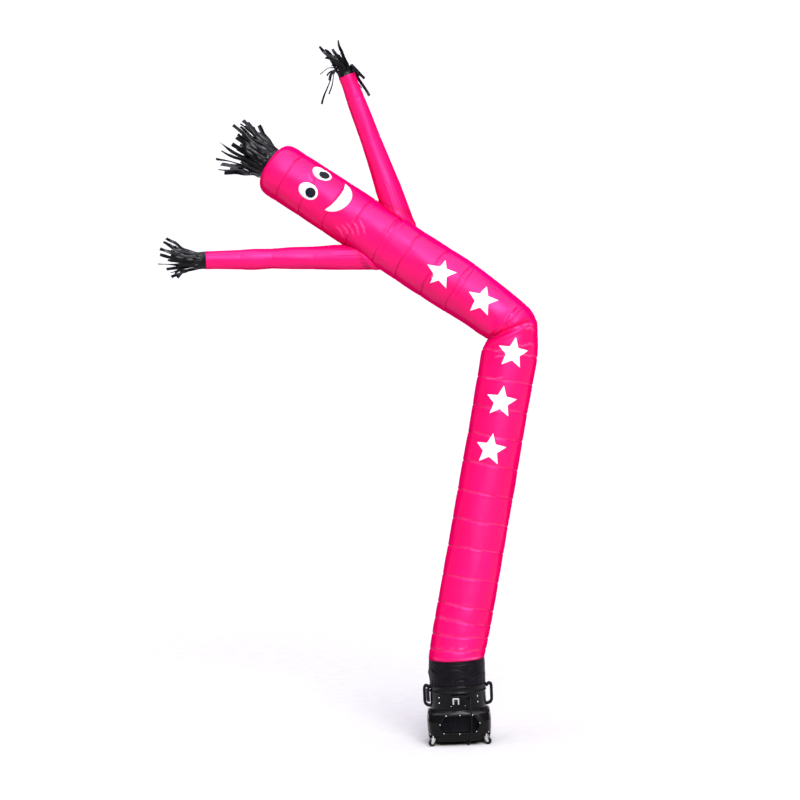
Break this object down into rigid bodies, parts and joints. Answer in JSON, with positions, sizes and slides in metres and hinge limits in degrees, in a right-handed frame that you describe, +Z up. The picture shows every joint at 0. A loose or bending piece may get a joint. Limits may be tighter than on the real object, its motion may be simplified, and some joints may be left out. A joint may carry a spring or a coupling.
{
  "type": "inflatable air dancer on blower",
  "caption": "Tall tube man of thin coated cloth with two sleeves, strip hair and hands and a smiling face, bent at mid height over a black floor blower on casters.",
  "frame": {"origin": "middle of the part's bounding box, without the mains cord, on the floor", "axes": "+Z up; the viewer of the picture stands towards -Y; the level sleeve points to -X"},
  "size_m": [3.1213, 1.7114, 5.7764],
  "materials": {
    "pink_cloth": "satin",
    "dark_cloth": "satin",
    "white_cloth": "matt",
    "pupil_cloth": "satin",
    "black_plastic": "satin",
    "pale_plastic": "satin",
    "zinc_steel": "zinc plated",
    "wheel_rubber": "matt",
    "cord_vinyl": "satin"
  },
  "bodies": {
    "root": {"body_tube": "pink_cloth", "sleeve_level": "pink_cloth", "sleeve_raised": "pink_cloth", "base_band": "dark_cloth", "hair_fringe": "dark_cloth", "hand_fringe_level": "dark_cloth", "hand_fringe_raised": "dark_cloth", "eye_low": "white_cloth", "eye_high": "white_cloth", "smile": "white_cloth", "star_1": "white_cloth", "star_2": "white_cloth", "star_3": "white_cloth", "star_4": "white_cloth", "star_5": "white_cloth", "pupil_low": "pupil_cloth", "pupil_high": "pupil_cloth", "blower_housing": "black_plastic", "intake_frame": "black_plastic", "handle_left": "black_plastic", "handle_right": "black_plastic", "grip_web_left": "black_plastic", "switch_plate": "black_plastic", "cord_gland": "black_plastic", "switch_bezel": "pale_plastic", "intake_screw_1": "zinc_steel", "intake_screw_2": "zinc_steel", "intake_screw_3": "zinc_steel", "intake_screw_4": "zinc_steel", "intake_screw_5": "zinc_steel", "intake_screw_6": "zinc_steel", "intake_screw_7": "zinc_steel", "intake_screw_8": "zinc_steel", "neck_screw_1": "zinc_steel", "neck_screw_2": "zinc_steel", "neck_screw_3": "zinc_steel", "neck_screw_4": "zinc_steel", "power_cord": "cord_vinyl", "cord_tail": "cord_vinyl", "cord_coil": "cord_vinyl", "cord_plug": "cord_vinyl"},
    "switch": {"switch_knob": "black_plastic"},
    "caster_front_left": {"caster_fork_front_left": "zinc_steel"},
    "wheel_front_left": {"caster_wheel_front_left": "wheel_rubber"},
    "caster_front_right": {"caster_fork_front_right": "zinc_steel"},
    "wheel_front_right": {"caster_wheel_front_right": "wheel_rubber"},
    "caster_rear_left": {"caster_fork_rear_left": "zinc_steel"},
    "wheel_rear_left": {"caster_wheel_rear_left": "wheel_rubber"},
    "caster_rear_right": {"caster_fork_rear_right": "zinc_steel"},
    "wheel_rear_right": {"caster_wheel_rear_right": "wheel_rubber"}
  },
  "joints": [
    {"name": "switch_turn", "type": "hinge", "parent": "root", "child": "switch", "pos_m": [0.7563, -0.8329, 0.372], "axis": [0, -1, 0], "range_deg": [0, 90]},
    {"name": "swivel_front_left", "type": "hinge", "parent": "root", "child": "caster_front_left", "pos_m": [0.5579, -0.7894, 0.0876], "axis": [0, 0, 1], "continuous": true},
    {"name": "roll_front_left", "type": "hinge", "parent": "caster_front_left", "child": "wheel_front_left", "pos_m": [0.54474, -0.79419, 0.02844], "axis": [0.342, -0.9397, 0], "continuous": true},
    {"name": "swivel_front_right", "type": "hinge", "parent": "root", "child": "caster_front_right", "pos_m": [0.9967, -0.7894, 0.0876], "axis": [0, 0, 1], "continuous": true},
    {"name": "roll_front_right", "type": "hinge", "parent": "caster_front_right", "child": "wheel_front_right", "pos_m": [1.00939, -0.79532, 0.02844], "axis": [0.4226, 0.9063, 0], "continuous": true},
    {"name": "swivel_rear_left", "type": "hinge", "parent": "root", "child": "caster_rear_left", "pos_m": [0.5579, -0.3844, 0.0876], "axis": [0, 0, 1], "continuous": true},
    {"name": "roll_rear_left", "type": "hinge", "parent": "caster_rear_left", "child": "wheel_rear_left", "pos_m": [0.54578, -0.3774, 0.02844], "axis": [-0.5, -0.866, 0], "continuous": true},
    {"name": "swivel_rear_right", "type": "hinge", "parent": "root", "child": "caster_rear_right", "pos_m": [0.9967, -0.3844, 0.0876], "axis": [0, 0, 1], "continuous": true},
    {"name": "roll_rear_right", "type": "hinge", "parent": "caster_rear_right", "child": "wheel_rear_right", "pos_m": [1.00743, -0.3754, 0.02844], "axis": [-0.6428, 0.766, 0], "continuous": true}
  ]
}
